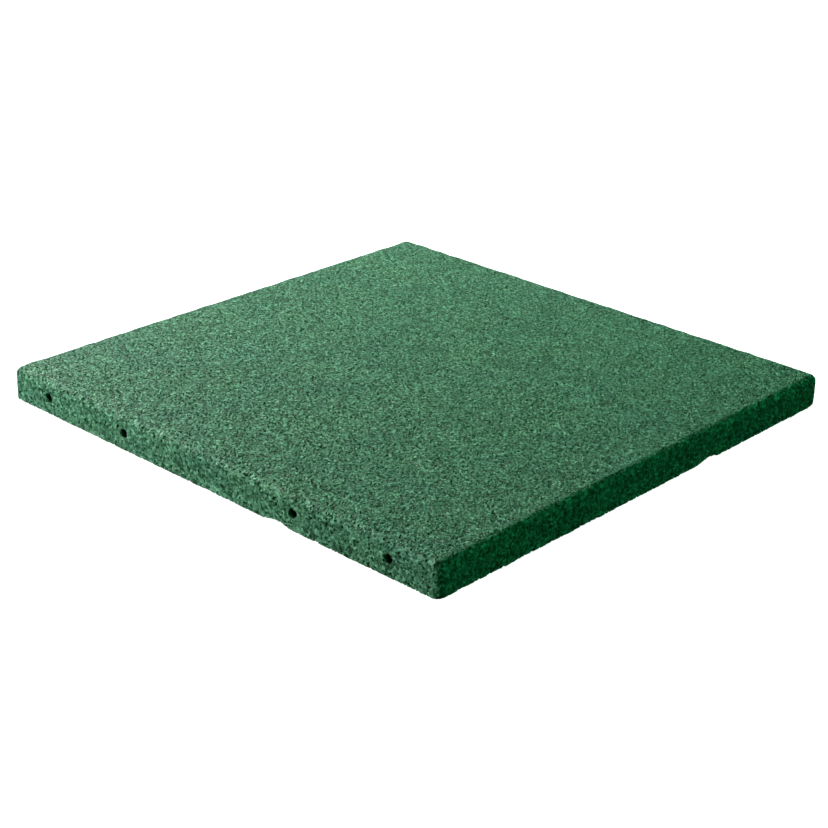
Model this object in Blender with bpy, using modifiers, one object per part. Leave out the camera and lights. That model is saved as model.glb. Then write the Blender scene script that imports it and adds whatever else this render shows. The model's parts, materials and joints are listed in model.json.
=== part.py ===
"""Rubber floor tile, pressed in one piece from bonded rubber granules.

A square slab with rounded plan corners and a rounded top edge. Two opposite sides hold a row of
blind sockets for dowel pins, which tie a tile to the next one. Two shallow drain channels cross
the underside and open in all four sides.
"""

import math

import bmesh
import bpy

# Driving dimensions, in metres
TILE_SIDE = 0.500
TILE_THICKNESS = 0.030
PLAN_CORNER_RADIUS = 0.007
TOP_EDGE_RADIUS = 0.006

SOCKET_DIAMETER = 0.0075
SOCKET_DEPTH = 0.030
SOCKET_HEIGHT = TILE_THICKNESS / 2
SOCKET_CORNER_DISTANCE = 0.050
SOCKET_PITCH_AT_CORNER = 0.100

CHANNEL_WIDTH = 0.028
CHANNEL_HEIGHT = 0.0026
CHANNEL_OFFSET = TILE_SIDE / 6

# Smoothness of the round stretches
CORNER_SEGMENTS = 6
TOP_EDGE_SEGMENTS = 6
SOCKET_SIDES = 24
CHANNEL_CIRCLE_SIDES = 120
SHARP_EDGE_ANGLE = math.radians(35)

# How far a cutter stands out of the slab
CUTTER_OVERSHOOT = 0.005

# Finish
GREEN = (0.070, 0.195, 0.110, 1.0)
ROUGHNESS = 0.85

HALF_SIDE = TILE_SIDE / 2


def clear_scene():
    """Remove whatever the open file holds."""
    for item in list(bpy.data.objects):
        bpy.data.objects.remove(item, do_unlink=True)


def new_collection(name):
    """Add an empty collection to the scene."""
    collection = bpy.data.collections.new(name)
    bpy.context.scene.collection.children.link(collection)
    return collection


def move_to(item, collection):
    """Put an object in one collection only."""
    for holder in list(item.users_collection):
        holder.objects.unlink(item)
    collection.objects.link(item)


def rubber_material():
    """Matt green rubber, coloured right through."""
    material = bpy.data.materials.new("green_rubber")
    material.use_nodes = True
    shader = material.node_tree.nodes["Principled BSDF"]
    shader.inputs["Base Color"].default_value = GREEN
    shader.inputs["Roughness"].default_value = ROUGHNESS
    shader.inputs["Metallic"].default_value = 0.0
    material.diffuse_color = GREEN
    return material


def is_upright(edge):
    """Tell whether an edge of the block runs along Z."""
    low, high = edge.verts
    return abs(low.co.z - high.co.z) > TILE_THICKNESS / 2


def slab_mesh():
    """A block with round plan corners, whose top outline is marked for rounding."""
    block = bmesh.new()
    bmesh.ops.create_cube(block, size=1.0)
    bmesh.ops.scale(block, vec=(TILE_SIDE, TILE_SIDE, TILE_THICKNESS), verts=block.verts)
    bmesh.ops.translate(block, vec=(0, 0, TILE_THICKNESS / 2), verts=block.verts)
    bmesh.ops.bevel(
        block,
        geom=[edge for edge in block.edges if is_upright(edge)],
        offset=PLAN_CORNER_RADIUS,
        offset_type="OFFSET",
        segments=CORNER_SEGMENTS,
        profile=0.5,
        affect="EDGES",
    )
    rounding = block.edges.layers.float.new("bevel_weight_edge")
    for edge in block.edges:
        at_top = all(vert.co.z > TILE_THICKNESS / 2 for vert in edge.verts)
        edge[rounding] = 1.0 if at_top else 0.0
    mesh = bpy.data.meshes.new("rubber_tile")
    block.to_mesh(mesh)
    block.free()
    return mesh


def round_top_edge(tile):
    """Round the edge between the walking surface and the sides."""
    bevel = tile.modifiers.new("top_edge", "BEVEL")
    bevel.limit_method = "WEIGHT"
    bevel.offset_type = "OFFSET"
    bevel.width = TOP_EDGE_RADIUS
    bevel.segments = TOP_EDGE_SEGMENTS
    bevel.use_clamp_overlap = False


def cylinder_cutter(name, radius, length, centre, rotation, sides, cutters):
    """A wire-drawn cylinder that is only there to be cut away."""
    bpy.ops.mesh.primitive_cylinder_add(
        vertices=sides, radius=radius, depth=length, location=centre, rotation=rotation
    )
    cutter = bpy.context.object
    cutter.name = name
    cutter.hide_render = True
    cutter.display_type = "WIRE"
    move_to(cutter, cutters)
    return cutter


def socket_positions():
    """Places of the pin sockets along a side: a pair towards each end of it."""
    outer = HALF_SIDE - SOCKET_CORNER_DISTANCE
    inner = outer - SOCKET_PITCH_AT_CORNER
    return [-outer, -inner, inner, outer]


def socket_cutters(cutters):
    """Cutters for the blind pin sockets in the two sides that face along Y."""
    length = SOCKET_DEPTH + CUTTER_OVERSHOOT
    inset = HALF_SIDE + CUTTER_OVERSHOOT - length / 2
    along_y = (math.radians(90), 0, 0)
    made = []
    for side_name, side in (("front", -1), ("back", 1)):
        for number, x in enumerate(socket_positions(), start=1):
            made.append(cylinder_cutter(
                f"socket_{side_name}_{number}",
                SOCKET_DIAMETER / 2,
                length,
                (x, side * inset, SOCKET_HEIGHT),
                along_y,
                SOCKET_SIDES,
                cutters,
            ))
    return made


def channel_cutters(cutters):
    """Cutters for the drain channels: shallow arcs of a large circle, one along Y, one along X."""
    half_width = CHANNEL_WIDTH / 2
    radius = (half_width ** 2 + CHANNEL_HEIGHT ** 2) / (2 * CHANNEL_HEIGHT)
    axis_height = CHANNEL_HEIGHT - radius
    length = TILE_SIDE + 2 * CUTTER_OVERSHOOT
    along_y = (math.radians(90), 0, 0)
    along_x = (0, math.radians(90), 0)
    places = (
        ("channel_along_y", (CHANNEL_OFFSET, 0, axis_height), along_y),
        ("channel_along_x", (0, CHANNEL_OFFSET, axis_height), along_x),
    )
    return [
        cylinder_cutter(name, radius, length, centre, rotation, CHANNEL_CIRCLE_SIDES, cutters)
        for name, centre, rotation in places
    ]


def cut_away(tile, cutter):
    """Take one cutter out of the tile."""
    cut = tile.modifiers.new(cutter.name, "BOOLEAN")
    cut.operation = "DIFFERENCE"
    cut.solver = "EXACT"
    cut.object = cutter


def apply_modifiers(tile):
    """Turn the modifiers into plain mesh, so that the sharp edges can be marked on it."""
    depsgraph = bpy.context.evaluated_depsgraph_get()
    finished = bpy.data.meshes.new_from_object(tile.evaluated_get(depsgraph))
    tile.modifiers.clear()
    tile.data = finished
    finished.name = tile.name


def main():
    clear_scene()
    product = new_collection("rubber_floor_tile")
    cutters = new_collection("rubber_floor_tile_cutters")

    tile = bpy.data.objects.new("rubber_tile", slab_mesh())
    product.objects.link(tile)
    tile.data.materials.append(rubber_material())

    round_top_edge(tile)
    for cutter in socket_cutters(cutters) + channel_cutters(cutters):
        cut_away(tile, cutter)
    apply_modifiers(tile)
    tile.data.shade_smooth()
    tile.data.set_sharp_from_angle(angle=SHARP_EDGE_ANGLE)


main()
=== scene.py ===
"""Looks of the rubber floor tile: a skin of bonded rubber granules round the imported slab.

The skin has a middle for each granule and a corner in each gap between three of them. The granules
lie nearly flush with the slab's surface, as the mould left them, and some of the gaps are crevices
and pores under it. Lengths are in millimetres, apart from those of the camera, the studio and the
material's textures, which are in metres.
"""

import json
import math

import bpy
import numpy as np
from mathutils import Matrix, Vector
from mathutils.geometry import delaunay_2d_cdt


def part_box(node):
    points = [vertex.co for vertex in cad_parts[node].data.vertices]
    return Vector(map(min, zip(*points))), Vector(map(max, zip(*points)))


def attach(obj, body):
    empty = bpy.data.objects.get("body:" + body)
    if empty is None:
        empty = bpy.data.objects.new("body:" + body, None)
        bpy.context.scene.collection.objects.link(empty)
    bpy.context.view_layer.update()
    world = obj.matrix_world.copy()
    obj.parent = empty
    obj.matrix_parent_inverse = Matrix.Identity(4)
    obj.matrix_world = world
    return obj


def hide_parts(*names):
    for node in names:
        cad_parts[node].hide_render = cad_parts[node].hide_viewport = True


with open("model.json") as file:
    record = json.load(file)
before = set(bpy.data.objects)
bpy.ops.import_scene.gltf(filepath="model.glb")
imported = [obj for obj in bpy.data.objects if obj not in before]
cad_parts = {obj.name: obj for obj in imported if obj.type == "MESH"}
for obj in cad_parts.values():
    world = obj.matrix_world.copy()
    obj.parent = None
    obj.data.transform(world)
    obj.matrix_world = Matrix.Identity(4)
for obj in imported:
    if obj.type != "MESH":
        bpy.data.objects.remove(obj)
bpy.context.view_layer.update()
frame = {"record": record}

NODE = "rubber_tile"
MM = 0.001
RIGHT_ANGLE = math.pi / 2
FULL_TURN = 2 * math.pi
RANDOM_SEED = 7
rng = np.random.default_rng(RANDOM_SEED)

# The camera, as worked out from the photograph: pixels, metres and degrees
PHOTO_PIXELS = 828
FOCAL_PIXELS = 1877.6
SENSOR_MM = 36.0
AZIMUTH = 42.30
ELEVATION = 24.14
ROLL = 1.60
DISTANCE = 1.626
AIM = (0.0173, -0.0250, 0.0009)

# The studio, in metres and watts. A light has the direction that it comes from, its distance and
# side, its colour, and how much it gives as diffuse light and as gloss. Its gloss comes from a
# second light, set back a little. The lights on the right are green, because the photograph's
# shaded side is a deeper green than white light makes it
WHITE = (1.0, 1.0, 1.0)
GREEN_BOUNCE = (0.102, 1.0, 0.511)
LIGHTS = {
    "key_light": ((-0.63, -0.40, 0.67), 2.2, 0.45, WHITE, 0.0, 23.0),
    "left_light": ((-0.95, 0.05, 0.45), 1.5, 0.90, WHITE, 58.5, 11.0),
    "low_front_light": ((-0.50, -0.85, 0.15), 1.5, 0.40, WHITE, 22.5, 2.0),
    "back_light": ((-0.61, 0.68, 0.41), 1.6, 1.00, WHITE, 0.0, 1.5),
    "back_right_light": ((0.30, 0.92, 0.25), 1.6, 0.50, GREEN_BOUNCE, 16.5, 0.0),
    "upper_right_light": ((0.45, 0.00, 0.90), 1.8, 0.50, GREEN_BOUNCE, 1.4, 0.0),
    "front_right_light": ((0.85, -0.45, 0.30), 1.6, 0.90, GREEN_BOUNCE, 3.4, 0.0),
}
GLOSS_SETBACK = 0.01
FLOOR_SIZE = 24.0
FLOOR_SHADE = 0.50
BACKDROP_RADIUS = 10.0
BACKDROP_SEGMENTS = 48
BACKDROP_SHADE = 0.0
PAPER_GLOW = 1.0
PAPER_ROUGHNESS = 0.9

# The slab, which the skin follows
node_low, node_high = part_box(NODE)
SIDE = (node_high.x - node_low.x) / MM
THICKNESS = (node_high.z - node_low.z) / MM
HALF = SIDE / 2
CORNER = 7.0
ROUNDING = 6.0
SOCKET_RADIUS = 3.75
SOCKET_DEPTH = 30.0
CHANNEL_WIDTH = 28.0
CHANNEL_HEIGHT = 2.6
CHANNEL_OFFSET = SIDE / 6

# The strip that runs round the tile, up its sides and over the rounded edge
STRAIGHT = SIDE - 2 * CORNER
ARC = RIGHT_ANGLE * CORNER
QUARTER = STRAIGHT + ARC
PERIMETER = 4 * QUARTER
WALL = THICKNESS - ROUNDING
STRIP_HEIGHT = WALL + RIGHT_ANGLE * ROUNDING

# Granules: their pitch, how ragged their places are, the share that is left out, how near they
# come to a border, and how large a gap between three of them has to be for a corner in it
TOP_PITCH = 1.7
STRIP_PITCH = 2.1
UNDERSIDE_PITCH = 3.3
RAGGED = 0.34
LEFT_OUT = 0.10
ROW_RATIO = math.sqrt(3) / 2
EDGE_MARGIN = 0.55
ROOMY_GAP = 0.45

# Relief below the slab's surface
CROWN_DEPTH = (0.0, 0.20)
SHALLOW_DEPTH = (0.05, 0.35)
CREVICE_DEPTH = (0.35, 0.75)
PORE_DEPTH = (1.00, 1.70)
SHALLOW_SHARE = 0.50
PORE_SHARE = 0.08

# The strip's upper and lower border, and the seam where its two ends meet: steps round a corner of
# the tile, how ragged the places are, and how far the seam's last points lie below the strip's top
UPPER_ARC_STEPS = 3
LOWER_ARC_STEPS = 5
BORDER_RAGGED_ALONG = 0.25
UPPER_RAGGED_UP = 0.5
BORDER_DEPTH = (0.05, 0.50)
LOWER_BORDER_DEPTH = (0.0, 0.5)
EDGE_UNEVENNESS = 0.35
EDGE_CHIP = (0.4, 1.0)
EDGE_CHIP_SHARE = 0.15
SEAM_RAGGED_UP = 0.2
SEAM_RAGGED_ALONG = 0.4
SEAM_BELOW_TOP = (5.2, 2.0)

# The pressed surface lies in shallow waves: how deep on the faces, round the rounded edge, and how
# high along the lower edge. One lower corner is rounded off
WAVE_COUNT = 24
WAVE_LENGTH = (12.0, 35.0)
WAVE_MIDDLE = 0.5
WAVE_SWING = 0.35
FACE_WAVE = 0.3
ROUNDED_EDGE_WAVE = 0.6
LOWER_EDGE_WAVE = 0.45
WORN_CORNER = np.array([HALF - 2.0, HALF - 2.0])
WORN_REACH = 14.0
WORN_HEIGHT = 6.0

# Pin sockets, whose mouths are worn wider than the sockets behind them
SOCKET_SIDES = 16
SOCKET_RINGS = 14
SOCKET_WEAR = (-0.15, 0.40)
RING_SHIFT = (-0.6, 0.0)
MOUTH_WEAR = (0.0, 1.0)
MOUTH_DEPTH = (0.3, 1.0)
# How deep the socket walls count in the relief, by which the material paints shade into them
SOCKET_RELIEF = 0.4

# Values that the triangulation asks for
INSIDE_ONLY = 1
MERGE_DISTANCE = 1e-5

# Kinds of points: on a border, in the middle of a granule, and in a gap between granules
BORDER = 0
SITE = 1
CORNER_POINT = 2

# The bands that the walking surface is cut into, from the front, and the texture layout, in which
# the strip lies in rows and the sockets in one more
BANDS = ("front", "middle", "back")
STRIP_ROWS = 7
UV_GAP = 1.0
UV_MARGIN = 0.005

# The rubber. A granule's colour goes by its tone, from nought to one. Mottling and fine grit lie
# over it, and painted shade darkens crevices and hollows, by their relief in millimetres. A texture
# has a size in metres, a detail and a roughness
GRANULE_COLOURS = (
    (0.00, (0.0150, 0.056, 0.028, 1.0)),
    (0.30, (0.0490, 0.147, 0.082, 1.0)),
    (0.80, (0.0990, 0.268, 0.157, 1.0)),
    (1.00, (0.1850, 0.445, 0.272, 1.0)),
)
MOTTLE_TEXTURE = (0.045, 5.0, 0.6)
MOTTLE_SPAN = (0.35, 0.65)
MOTTLE_COLD = (0.92, 0.96, 1.00, 1.0)
MOTTLE_WARM = (1.08, 1.04, 0.99, 1.0)
GRIT_TEXTURE = (0.0007, 3.0, 0.7)
GRIT_SHADES = ((0.30, 0.75), (0.70, 1.20))
# Painted shade: crevices and pores are darkened by their relief
CREVICE_SHADE_SPAN = (0.05, 1.10)
CREVICE_SHADE_COLOUR = (0.0100, 0.060, 0.026, 1.0)
# Painted shade: the deepest pores and the sockets' hollows go nearly black
HOLLOW_SHADE_SPAN = (1.0, 2.0)
HOLLOW_SHADE_COLOUR = (0.0004, 0.010, 0.002, 1.0)
GLOSSY_SPAN = (0.68, 0.82)
DULL_ROUGHNESS = (0.46, 0.66)
GLOSSY_ROUGHNESS = 0.30
CREVICE_ROUGHNESS = 0.34
SPECULAR_LEVEL = 0.30
BUMP_STRENGTH = 0.6
BUMP_DISTANCE = 0.0002

# Sockets of a colour Mix node, whose names aren't unique, and where a ramp gets its new stops
MIX_FACTOR = 0
MIX_FIRST = 6
MIX_SECOND = 7
MIX_RESULT = 2
RAMP_MIDDLE = 0.5


def outline(along, inset):
    """Plan position on the tile's outline, a distance along it and moved inwards."""
    turn, rest = np.divmod(along, QUARTER)
    angle = np.clip(rest - STRAIGHT, 0, None) / CORNER
    x = np.minimum(rest, STRAIGHT) - STRAIGHT / 2 + (CORNER - inset) * np.sin(angle)
    y = -STRAIGHT / 2 - (CORNER - inset) * np.cos(angle)
    cosine = np.cos(turn * RIGHT_ANGLE)
    sine = np.sin(turn * RIGHT_ANGLE)
    return np.stack([x * cosine - y * sine, x * sine + y * cosine], axis=-1)


def edge_angle(up):
    """How far round the rounded edge a height on the strip lies, from nought on the sides."""
    return np.clip((up - WALL) / ROUNDING, 0, RIGHT_ANGLE)


def strip_point(along, up, depth):
    """Point of the sides or of the rounded edge, at a depth below the slab's surface."""
    angle = edge_angle(up)
    past = np.clip(up - STRIP_HEIGHT, 0, None)
    inset = ROUNDING - (ROUNDING - depth) * np.cos(angle) + past
    height = np.minimum(up, WALL) + (ROUNDING - depth) * np.sin(angle)
    return np.column_stack([outline(along, inset), height])


def random_waves():
    """Wave vectors and phases of the waves that the pressed surface lies in."""
    directions = rng.normal(size=(WAVE_COUNT, 3))
    directions /= np.linalg.norm(directions, axis=1)[:, None]
    lengths = rng.uniform(*WAVE_LENGTH, WAVE_COUNT)
    phases = rng.uniform(0, FULL_TURN, WAVE_COUNT)
    return directions * (FULL_TURN / lengths)[:, None], phases


WAVES, PHASES = random_waves()


def unevenness(points):
    """How far the waves sink at points in space, from nought to one."""
    level = np.sin(points @ WAVES.T + PHASES).sum(axis=1) / math.sqrt(WAVE_COUNT)
    return np.clip(WAVE_MIDDLE + WAVE_SWING * level, 0, 1)


def strip_sink(along, up):
    """How far the waves take the strip below the slab's surface."""
    deepest = FACE_WAVE + ROUNDED_EDGE_WAVE * np.sin(2 * edge_angle(up))
    return deepest * unevenness(strip_point(along, up, 0.0))


def underside_height(places):
    """Height of the underside above the floor: nought, an arch in a channel, or a worn corner."""
    half_width = CHANNEL_WIDTH / 2
    radius = (half_width ** 2 + CHANNEL_HEIGHT ** 2) / (2 * CHANNEL_HEIGHT)
    off_axis = np.minimum(np.abs(places - CHANNEL_OFFSET), half_width)
    arches = np.sqrt(radius ** 2 - off_axis ** 2) - (radius - CHANNEL_HEIGHT)
    near_corner = np.clip(1 - np.linalg.norm(places - WORN_CORNER, axis=1) / WORN_REACH, 0, 1)
    return np.maximum(arches.max(axis=1), WORN_HEIGHT * (1 - np.sqrt(1 - near_corner ** 2)))


def distance_inside(places, half, corner):
    """How far flat points lie inside a square with round corners."""
    over = np.abs(places) - (half - corner)
    outside = np.linalg.norm(np.clip(over, 0, None), axis=1)
    return corner - outside - np.clip(over.max(axis=1), None, 0)


def scatter(width, height, pitch):
    """Ragged triangular grid of granule middles, with some left out so that others grow."""
    columns = int(width / pitch) + 1
    rows = int(height / (pitch * ROW_RATIO)) + 1
    grid = np.stack(np.meshgrid(np.arange(columns), np.arange(rows)), axis=-1)
    grid = grid.reshape(-1, 2).astype(float)
    grid[:, 0] += (grid[:, 1] % 2) / 2
    grid[:, 1] *= ROW_RATIO
    places = (grid + rng.uniform(-RAGGED, RAGGED, grid.shape)) * pitch
    return places[rng.random(len(places)) > LEFT_OUT]


def in_mouth(places, mouth):
    """Tell which flat points lie inside a pin socket's mouth, a ragged round loop."""
    offset = places - mouth["middle"]
    turn = np.arctan2(offset[:, 1], offset[:, 0]) % FULL_TURN
    first = np.minimum(turn * SOCKET_SIDES // FULL_TURN, SOCKET_SIDES - 1).astype(int)
    start = mouth["places"][first]
    edge = mouth["places"][(first + 1) % SOCKET_SIDES] - start
    aside = places - start
    return edge[:, 0] * aside[:, 1] > edge[:, 1] * aside[:, 0]


def doubled_area(points, triangles):
    """Twice the signed area of flat triangles."""
    a, b, c = (points[triangles[:, number]] for number in range(3))
    return (b[:, 0] - a[:, 0]) * (c[:, 1] - a[:, 1]) - (c[:, 0] - a[:, 0]) * (b[:, 1] - a[:, 1])


def triangulate(points, loops, mouths):
    """Triangles inside the loops and outside the sockets' mouths, as numbers of the points."""
    edges = []
    for loop in loops:
        edges += list(zip(loop, loop[1:] + loop[:1]))
    flat = [Vector(point) for point in points.tolist()]
    _, _, faces, origins, _, _ = delaunay_2d_cdt(flat, edges, [], INSIDE_ONLY, MERGE_DISTANCE)
    source = np.array([numbers[0] for numbers in origins])
    triangles = source[np.array(faces)]
    middles = points[triangles].mean(axis=1)
    keep = np.ones(len(triangles), bool)
    for mouth in mouths:
        keep &= ~in_mouth(middles, mouth)
    triangles = triangles[keep]
    clockwise = doubled_area(points, triangles) < 0
    triangles[clockwise] = triangles[clockwise][:, ::-1]
    return triangles


def granulate(border, loops, sites, pitch, mouths=()):
    """Flat mesh of granules: their middles, and a corner in each gap between three of them."""
    points = np.concatenate([border, sites])
    gaps = triangulate(points, loops, mouths)
    roomy = np.abs(doubled_area(points, gaps)) > ROOMY_GAP * ROW_RATIO * pitch ** 2
    corners = points[gaps[roomy]].mean(axis=1)
    points = np.concatenate([points, corners])
    kinds = np.repeat([BORDER, SITE, CORNER_POINT], [len(border), len(sites), len(corners)])
    return points, kinds, triangulate(points, loops, mouths)


def relief(kinds, border_depth):
    """Depth of each point below the slab's surface, by what kind of point it is."""
    count = len(kinds)
    depth = rng.uniform(*CREVICE_DEPTH, count)
    pick = rng.random(count)
    shallow = pick < SHALLOW_SHARE
    depth[shallow] = rng.uniform(*SHALLOW_DEPTH, shallow.sum())
    pore = pick > 1 - PORE_SHARE
    depth[pore] = rng.uniform(*PORE_DEPTH, pore.sum())
    crown = kinds == SITE
    depth[crown] = rng.uniform(*CROWN_DEPTH, crown.sum())
    depth[kinds == BORDER] = border_depth
    return depth


def granule_tones(kinds, triangles):
    """Two random numbers for each granule, its tone and its gloss, given to all of its facets."""
    tones = rng.random((len(kinds), 2))
    is_site = kinds[triangles] == SITE
    owner = triangles[np.arange(len(triangles)), is_site.argmax(axis=1)]
    return tones[owner]


def border_places(pitch, arc_steps):
    """Distances round the tile at which the points of a border lie."""
    count = round(STRAIGHT / (EDGE_MARGIN * pitch))
    ragged = rng.uniform(-BORDER_RAGGED_ALONG, BORDER_RAGGED_ALONG, count)
    straight = (np.arange(count) + ragged) * STRAIGHT / count
    arc = STRAIGHT + (np.arange(arc_steps) + 0.5) * ARC / arc_steps
    one_side = np.concatenate([straight, arc])
    return np.concatenate([number * QUARTER + one_side for number in range(4)])


def strip_border(along, up, depth):
    """A border of the strip, whose points the next stretch of the skin shares."""
    points = strip_point(along, up, depth + strip_sink(along, up))
    return {"along": along, "up": up, "depth": depth, "points": points}


def upper_border():
    """Where the strip meets the walking surface."""
    along = border_places(TOP_PITCH, UPPER_ARC_STEPS)
    up = STRIP_HEIGHT + rng.uniform(-UPPER_RAGGED_UP, UPPER_RAGGED_UP, len(along))
    return strip_border(along, up, rng.uniform(*BORDER_DEPTH, len(along)))


def lower_border():
    """Where the strip meets the underside, over the mouths of the drain channels too."""
    along = border_places(STRIP_PITCH, LOWER_ARC_STEPS)
    depth = rng.uniform(*LOWER_BORDER_DEPTH, len(along))
    chip = rng.uniform(*EDGE_CHIP, len(along)) * (rng.random(len(along)) < EDGE_CHIP_SHARE)
    ragged = rng.uniform(0.0, EDGE_UNEVENNESS, len(along))
    up = underside_height(outline(along, depth)) + ragged + chip
    up += LOWER_EDGE_WAVE * unevenness(strip_point(along, up, 0.0))
    return strip_border(along, up, depth)


def part(points, depth, triangles, tones, uv):
    """What a stretch of the skin hands to the meshes."""
    return {"points": points, "depth": depth, "triangles": triangles, "tones": tones, "uv": uv}


def flat_face(border, pitch, inset):
    """Granules of the walking surface or the underside, still flat, inside their border."""
    rim = border["points"][:, :2]
    sites = scatter(SIDE, SIDE, pitch) - HALF
    inside = distance_inside(sites, HALF - inset, CORNER - inset)
    sites = sites[inside > EDGE_MARGIN * pitch]
    flat, kinds, triangles = granulate(rim, [list(range(len(rim)))], sites, pitch)
    depth = relief(kinds, border["depth"])
    return flat, triangles, depth, granule_tones(kinds, triangles)


def walking_surface(border):
    """The top of the tile, inside the rounded edge."""
    flat, triangles, depth, tones = flat_face(border, TOP_PITCH, ROUNDING)
    points = np.column_stack([flat, np.full(len(flat), THICKNESS)])
    points[:, 2] -= depth + FACE_WAVE * unevenness(points)
    points[:len(border["points"])] = border["points"]
    return part(points, depth, triangles, tones, flat[triangles])


def underside(border):
    """The face that lies on the floor, with its drain channels."""
    flat, triangles, depth, tones = flat_face(border, UNDERSIDE_PITCH, 0.0)
    points = np.column_stack([flat, underside_height(flat)])
    points[:, 2] += depth + FACE_WAVE * unevenness(points)
    points[:len(border["points"])] = border["points"]
    triangles = triangles[:, ::-1]
    return part(points, depth, triangles, tones, flat[triangles])


def socket_middles():
    """Where the pin sockets open in the strip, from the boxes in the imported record."""
    middles = []
    for opening in frame["record"]["physics"]["openings"]:
        low, high = np.array(opening["box_m"]) / MM
        x, y, z = (low + high) / 2
        if y < 0:
            middles.append((STRAIGHT / 2 + x, z))
        else:
            middles.append((2 * QUARTER + STRAIGHT / 2 - x, z))
    return np.array(middles)


def socket_ring(middle, radius):
    """Points round a pin socket's middle, each at its own distance, on the unrolled strip."""
    turn = np.arange(SOCKET_SIDES) * FULL_TURN / SOCKET_SIDES
    return middle + np.column_stack([np.cos(turn), np.sin(turn)]) * radius[:, None]


def socket_mouths():
    """The ragged round loops at which the pin sockets open."""
    mouths = []
    for middle in socket_middles():
        places = socket_ring(middle, SOCKET_RADIUS + rng.uniform(*MOUTH_WEAR, SOCKET_SIDES))
        depth = rng.uniform(*MOUTH_DEPTH, SOCKET_SIDES)
        mouths.append({"middle": middle, "places": places, "depth": depth})
    return mouths


def socket_facets():
    """Triangles of a pin socket's wall and end, and their places in the texture layout."""
    triangles = []
    uv = []
    last = (SOCKET_RINGS + 1) * SOCKET_SIDES
    width = FULL_TURN * SOCKET_RADIUS / SOCKET_SIDES
    height = SOCKET_DEPTH / SOCKET_RINGS
    for ring in range(SOCKET_RINGS + 1):
        low, high = ring * height, (ring + 1) * height
        for side in range(SOCKET_SIDES):
            here = ring * SOCKET_SIDES + side
            beside = ring * SOCKET_SIDES + (side + 1) % SOCKET_SIDES
            left, right = side * width, (side + 1) * width
            if ring < SOCKET_RINGS:
                triangles.append((here, beside, beside + SOCKET_SIDES))
                uv.append(((left, low), (right, low), (right, high)))
                triangles.append((here, beside + SOCKET_SIDES, here + SOCKET_SIDES))
                uv.append(((left, low), (right, high), (left, high)))
            else:
                triangles.append((here, beside, last))
                uv.append(((left, low), (right, low), ((left + right) / 2, high)))
    return np.array(triangles), np.array(uv)


def socket_wall(mouth, first_uv):
    """A pin socket's wall and end, inwards from the points of its mouth."""
    middle = mouth["middle"]
    places = [mouth["places"]]
    depths = [mouth["depth"]]
    for ring in range(1, SOCKET_RINGS + 1):
        places.append(socket_ring(middle, SOCKET_RADIUS + rng.uniform(*SOCKET_WEAR, SOCKET_SIDES)))
        shift = rng.uniform(*RING_SHIFT, SOCKET_SIDES)
        depths.append(SOCKET_DEPTH * ring / SOCKET_RINGS + shift)
    places.append(middle[None, :])
    depths.append(np.array([SOCKET_DEPTH]))
    flat = np.concatenate(places)
    depth = np.concatenate(depths)
    sink = np.where(depth <= MOUTH_DEPTH[1], strip_sink(flat[:, 0], flat[:, 1]), 0.0)
    points = strip_point(flat[:, 0], flat[:, 1], depth + sink)
    triangles, uv = socket_facets()
    tones = rng.random((len(triangles), 2))
    return part(points, depth * SOCKET_RELIEF, triangles, tones, uv + first_uv)


def seam():
    """The cut up the tile's side at which the strip is unrolled: places, heights and depths."""
    count = round(WALL / STRIP_PITCH)
    ragged = rng.uniform(-SEAM_RAGGED_UP, SEAM_RAGGED_UP, count)
    up = (np.arange(1, count + 1) + ragged) * WALL / (count + 1)
    up = np.append(up, STRIP_HEIGHT - np.array(SEAM_BELOW_TOP))
    along = rng.uniform(-SEAM_RAGGED_ALONG, SEAM_RAGGED_ALONG, len(up))
    return along, up, rng.uniform(*BORDER_DEPTH, len(up))


def strip_rim(lower, upper):
    """The unrolled strip's outline: along its lower border, up the seam, back and down again."""
    seam_along, seam_up, seam_depth = seam()
    along = np.concatenate([
        lower["along"], lower["along"][:1] + PERIMETER, seam_along + PERIMETER,
        upper["along"][:1] + PERIMETER, upper["along"][::-1], seam_along[::-1],
    ])
    up, depth = (
        np.concatenate([
            lower[key], lower[key][:1], cut,
            upper[key][:1], upper[key][::-1], cut[::-1],
        ])
        for key, cut in (("up", seam_up), ("depth", seam_depth))
    )
    return np.column_stack([along, up]), depth


def strip_sites(mouths):
    """Granule middles on the strip, clear of its outline and of the sockets' mouths.

    The strip narrows over the rounded edge where it goes round a corner, so fewer of them fit.
    """
    sites = scatter(PERIMETER, STRIP_HEIGHT, STRIP_PITCH)
    along, up = sites[:, 0], sites[:, 1]
    margin = EDGE_MARGIN * STRIP_PITCH
    keep = (along > margin) & (along < PERIMETER - margin)
    keep &= (up > underside_height(outline(along, 0.0)) + margin) & (up < STRIP_HEIGHT - margin)
    for mouth in mouths:
        from_middle = np.linalg.norm(sites - mouth["middle"], axis=1)
        keep &= from_middle > SOCKET_RADIUS + MOUTH_WEAR[1] + margin / 2
    narrowed = (CORNER - ROUNDING * (1 - np.cos(edge_angle(up)))) / CORNER
    on_corner = np.mod(along, QUARTER) > STRAIGHT
    keep &= ~on_corner | (rng.random(len(sites)) < narrowed)
    return sites[keep]


def strip_uv(flat, triangles):
    """Places of the strip's triangles in the texture layout."""
    uv = flat[triangles]
    row_length = PERIMETER / STRIP_ROWS
    row = np.clip(uv.mean(axis=1)[:, 0] // row_length, 0, STRIP_ROWS - 1)
    uv[:, :, 0] -= (row * row_length)[:, None]
    uv[:, :, 1] += (row * (STRIP_HEIGHT + UV_GAP))[:, None]
    return uv


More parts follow.
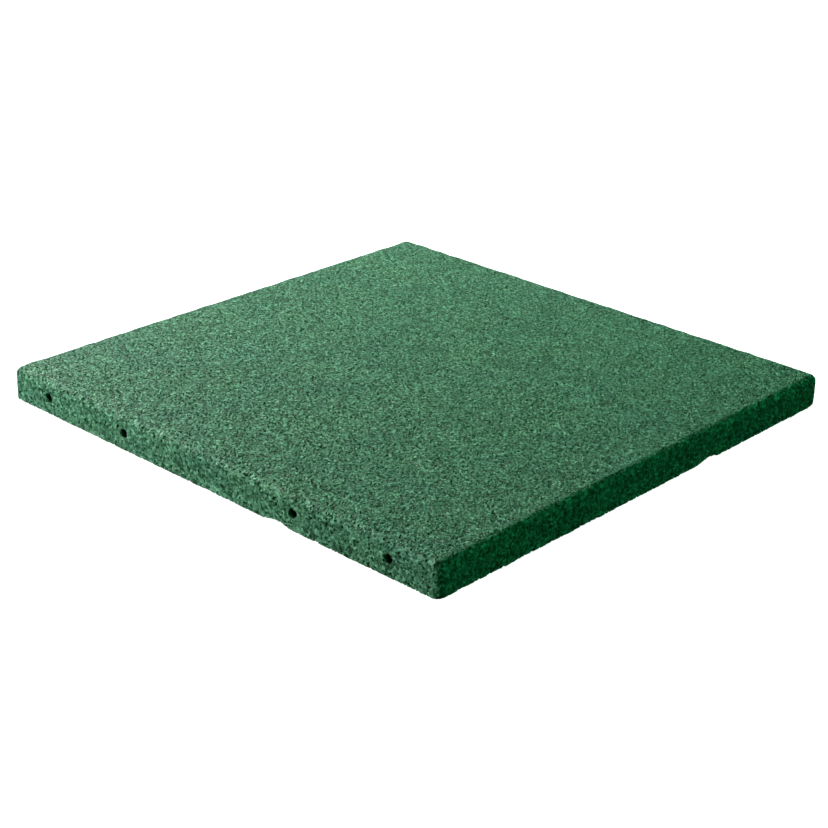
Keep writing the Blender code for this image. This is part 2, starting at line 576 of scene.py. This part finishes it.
def strip(lower, upper):
    """The four sides and the rounded edge, unrolled as one strip and closed again."""
    border, depth = strip_rim(lower, upper)
    loops = [list(range(len(border)))]
    mouths = socket_mouths()
    for mouth in mouths:
        loops.append(list(range(len(border), len(border) + SOCKET_SIDES)))
        border = np.concatenate([border, mouth["places"]])
        depth = np.concatenate([depth, mouth["depth"]])

    flat, kinds, triangles = granulate(border, loops, strip_sites(mouths), STRIP_PITCH, mouths)
    depth = relief(kinds, depth)
    points = strip_point(flat[:, 0], flat[:, 1], depth + strip_sink(flat[:, 0], flat[:, 1]))
    tones = granule_tones(kinds, triangles)
    parts = [part(points, depth, triangles, tones, strip_uv(flat, triangles))]
    first_uv = np.array([0.0, STRIP_ROWS * (STRIP_HEIGHT + UV_GAP)])
    for mouth in mouths:
        parts.append(socket_wall(mouth, first_uv))
        first_uv = first_uv + (FULL_TURN * SOCKET_RADIUS + UV_GAP, 0.0)
    return parts


def build_piece(name, parts, material):
    """Add one mesh object, made from stretches of the skin."""
    points, depth, triangles = [], [], []
    count = 0
    for item in parts:
        used, numbers = np.unique(item["triangles"], return_inverse=True)
        triangles.append(numbers.reshape(-1, 3) + count)
        points.append(item["points"][used] * MM)
        depth.append(item["depth"][used])
        count += len(used)
    mesh = bpy.data.meshes.new(name)
    mesh.from_pydata(np.concatenate(points).tolist(), [], np.concatenate(triangles).tolist())
    tones = np.concatenate([item["tones"] for item in parts])
    for label, domain, values in (
        ("relief", "POINT", np.concatenate(depth)),
        ("granule", "FACE", tones[:, 0].copy()),
        ("gloss", "FACE", tones[:, 1].copy()),
    ):
        mesh.attributes.new(label, "FLOAT", domain).data.foreach_set("value", values)
    uv = np.concatenate([item["uv"] for item in parts]).reshape(-1, 2)
    spread = uv.max(axis=0) - uv.min(axis=0)
    uv = UV_MARGIN + (1 - 2 * UV_MARGIN) * (uv - uv.min(axis=0)) / spread
    mesh.uv_layers.new(name="OFBake").data.foreach_set("uv", uv.ravel())
    mesh.materials.append(material)
    piece = bpy.data.objects.new(name, mesh)
    bpy.context.scene.collection.objects.link(piece)
    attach(piece, "root")
    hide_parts(NODE)


def band_of(item, number):
    """One of the bands of a stretch of the skin, counted from the front."""
    y = item["points"][item["triangles"]].mean(axis=1)[:, 1]
    band = np.clip((y + HALF) // (SIDE / len(BANDS)), 0, len(BANDS) - 1)
    cut = dict(item)
    for key in ("triangles", "tones", "uv"):
        cut[key] = item[key][band == number]
    return cut


class NodeSheet:
    """Short forms for laying out shader nodes."""

    def __init__(self, material):
        self.nodes = material.node_tree.nodes
        self.links = material.node_tree.links

    def add(self, kind, **settings):
        node = self.nodes.new(kind)
        for name, value in settings.items():
            setattr(node, name, value)
        return node

    def attribute(self, name):
        return self.add("ShaderNodeAttribute", attribute_name=name).outputs["Fac"]

    def noise(self, place, size, detail, roughness):
        node = self.add("ShaderNodeTexNoise")
        node.inputs["Scale"].default_value = 1 / size
        node.inputs["Detail"].default_value = detail
        node.inputs["Roughness"].default_value = roughness
        self.links.new(place, node.inputs["Vector"])
        return node.outputs["Fac"]

    def remap(self, value, span, target=(0.0, 1.0), interpolation="LINEAR"):
        node = self.add("ShaderNodeMapRange", interpolation_type=interpolation)
        names = ("From Min", "From Max", "To Min", "To Max")
        for name, number in zip(names, span + target):
            node.inputs[name].default_value = number
        self.links.new(value, node.inputs["Value"])
        return node.outputs["Result"]

    def mix(self, factor, first, second, blend="MIX"):
        node = self.add("ShaderNodeMix", data_type="RGBA", blend_type=blend)
        for number, value in ((MIX_FACTOR, factor), (MIX_FIRST, first), (MIX_SECOND, second)):
            if isinstance(value, bpy.types.NodeSocket):
                self.links.new(value, node.inputs[number])
            else:
                node.inputs[number].default_value = value
        return node.outputs[MIX_RESULT]

    def ramp(self, value, stops):
        node = self.add("ShaderNodeValToRGB")
        elements = node.color_ramp.elements
        while len(elements) < len(stops):
            elements.new(RAMP_MIDDLE)
        for element, (position, colour) in zip(elements, stops):
            element.position = position
            element.color = colour
        self.links.new(value, node.inputs["Fac"])
        return node.outputs["Color"]


def grey(level):
    """A neutral colour."""
    return (level, level, level, 1.0)


def granule_material():
    """Green rubber granules: a tone for each, painted shade in crevices and hollows, mottling, fine
    grit and dull gloss.
    """
    material = bpy.data.materials.new("bonded_rubber_granules")
    material.use_nodes = True
    sheet = NodeSheet(material)
    shader = sheet.nodes["Principled BSDF"]
    place = sheet.add("ShaderNodeTexCoord").outputs["Object"]
    tone = sheet.attribute("granule")
    depth = sheet.attribute("relief")
    grit = sheet.noise(place, *GRIT_TEXTURE)
    # Painted shade: the colour darkens where the relief is deep, in crevices and pores; the same
    # mask sets their roughness
    crevice_shade_mask = sheet.remap(depth, CREVICE_SHADE_SPAN, interpolation="SMOOTHSTEP")

    colour = sheet.ramp(tone, GRANULE_COLOURS)
    mottle = sheet.remap(sheet.noise(place, *MOTTLE_TEXTURE), MOTTLE_SPAN)
    colour = sheet.mix(1.0, colour, sheet.mix(mottle, MOTTLE_COLD, MOTTLE_WARM), "MULTIPLY")
    grit_shade = sheet.ramp(grit, [(level, grey(shade)) for level, shade in GRIT_SHADES])
    colour = sheet.mix(1.0, colour, grit_shade, "MULTIPLY")
    colour = sheet.mix(crevice_shade_mask, colour, CREVICE_SHADE_COLOUR)
    # Painted shade, nearly black, in the deepest pores and in the sockets' hollows
    hollow_shade = sheet.remap(depth, HOLLOW_SHADE_SPAN, interpolation="SMOOTHSTEP")
    colour = sheet.mix(hollow_shade, colour, HOLLOW_SHADE_COLOUR)
    sheet.links.new(colour, shader.inputs["Base Color"])

    glossy = sheet.remap(sheet.attribute("gloss"), GLOSSY_SPAN, interpolation="SMOOTHSTEP")
    dull = sheet.remap(tone, (0.0, 1.0), DULL_ROUGHNESS)
    sheen = sheet.mix(glossy, dull, grey(GLOSSY_ROUGHNESS))
    sheen = sheet.mix(crevice_shade_mask, sheen, grey(CREVICE_ROUGHNESS))
    sheet.links.new(sheen, shader.inputs["Roughness"])
    bump = sheet.add("ShaderNodeBump")
    bump.inputs["Strength"].default_value = BUMP_STRENGTH
    bump.inputs["Distance"].default_value = BUMP_DISTANCE
    sheet.links.new(grit, bump.inputs["Height"])
    sheet.links.new(bump.outputs["Normal"], shader.inputs["Normal"])
    shader.inputs["Specular IOR Level"].default_value = SPECULAR_LEVEL
    return material


def build_tile():
    """The skin's pieces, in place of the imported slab."""
    material = granule_material()
    upper = upper_border()
    lower = lower_border()
    top = walking_surface(upper)
    for number, name in enumerate(BANDS):
        build_piece(f"walking_surface_{name}", [band_of(top, number)], material)
    build_piece("sides", strip(lower, upper), material)
    build_piece("underside", [underside(lower)], material)


def add_camera():
    """The camera of the photograph."""
    azimuth, elevation, roll = (math.radians(value) for value in (AZIMUTH, ELEVATION, ROLL))
    back = Vector((
        math.sin(azimuth) * math.cos(elevation),
        -math.cos(azimuth) * math.cos(elevation),
        math.sin(elevation),
    ))
    level_right = (-back).cross(Vector((0, 0, 1))).normalized()
    level_up = back.cross(level_right)
    right = level_right * math.cos(roll) + level_up * math.sin(roll)
    up = -level_right * math.sin(roll) + level_up * math.cos(roll)
    data = bpy.data.cameras.new("camera")
    data.sensor_width = SENSOR_MM
    data.lens = FOCAL_PIXELS * SENSOR_MM / PHOTO_PIXELS
    camera = bpy.data.objects.new("camera", data)
    camera.matrix_world = Matrix.Translation(Vector(AIM) + back * DISTANCE) @ Matrix(
        (right, up, back)
    ).transposed().to_4x4()
    bpy.context.scene.collection.objects.link(camera)
    bpy.context.scene.camera = camera


def add_area_light(name, direction, distance, size, colour, power, gloss_only=False):
    """A square light that faces the tile, and gives either diffuse light or gloss."""
    data = bpy.data.lights.new(name, "AREA")
    data.shape = "SQUARE"
    data.size = size
    data.color = colour
    data.energy = power
    light = bpy.data.objects.new(name, data)
    towards = Vector(direction).normalized()
    light.location = towards * distance
    light.rotation_euler = (-towards).to_track_quat("-Z", "Y").to_euler()
    light.visible_diffuse = not gloss_only
    light.visible_glossy = gloss_only
    data.cycles.use_multiple_importance_sampling = gloss_only
    bpy.context.scene.collection.objects.link(light)


def paper(name, shade):
    """Paper that glows white, so that no shadow shows on it."""
    material = bpy.data.materials.new(name)
    material.use_nodes = True
    shader = material.node_tree.nodes["Principled BSDF"]
    shader.inputs["Base Color"].default_value = grey(shade)
    shader.inputs["Roughness"].default_value = PAPER_ROUGHNESS
    shader.inputs["Emission Color"].default_value = grey(1.0)
    shader.inputs["Emission Strength"].default_value = PAPER_GLOW
    return material


def add_stage(stage, name, shade):
    """Name a stage object, give it its paper, and keep it from lighting the tile."""
    stage.name = name
    stage.data.materials.append(paper(f"{name}_paper", shade))
    stage.visible_diffuse = False
    stage.visible_glossy = False


def add_studio():
    """A pale floor in a white backdrop, and soft lights, the stronger ones on the left."""
    bpy.ops.mesh.primitive_plane_add(size=FLOOR_SIZE, location=(0, 0, 0))
    add_stage(bpy.context.object, "floor", FLOOR_SHADE)
    bpy.ops.mesh.primitive_uv_sphere_add(
        radius=BACKDROP_RADIUS, segments=BACKDROP_SEGMENTS, ring_count=BACKDROP_SEGMENTS // 2
    )
    bpy.context.object.visible_shadow = False
    add_stage(bpy.context.object, "backdrop", BACKDROP_SHADE)

    world = bpy.data.worlds.new("studio")
    world.use_nodes = True
    world.node_tree.nodes["Background"].inputs["Color"].default_value = grey(0.0)
    bpy.context.scene.world = world
    for name, (direction, distance, size, colour, diffuse, gloss) in LIGHTS.items():
        if diffuse:
            add_area_light(name, direction, distance, size, colour, diffuse)
        if gloss:
            behind = distance + GLOSS_SETBACK
            add_area_light(f"{name}_gloss", direction, behind, size, colour, gloss, gloss_only=True)
    bpy.context.scene.view_settings.view_transform = "Standard"


add_camera()
add_studio()
build_tile()
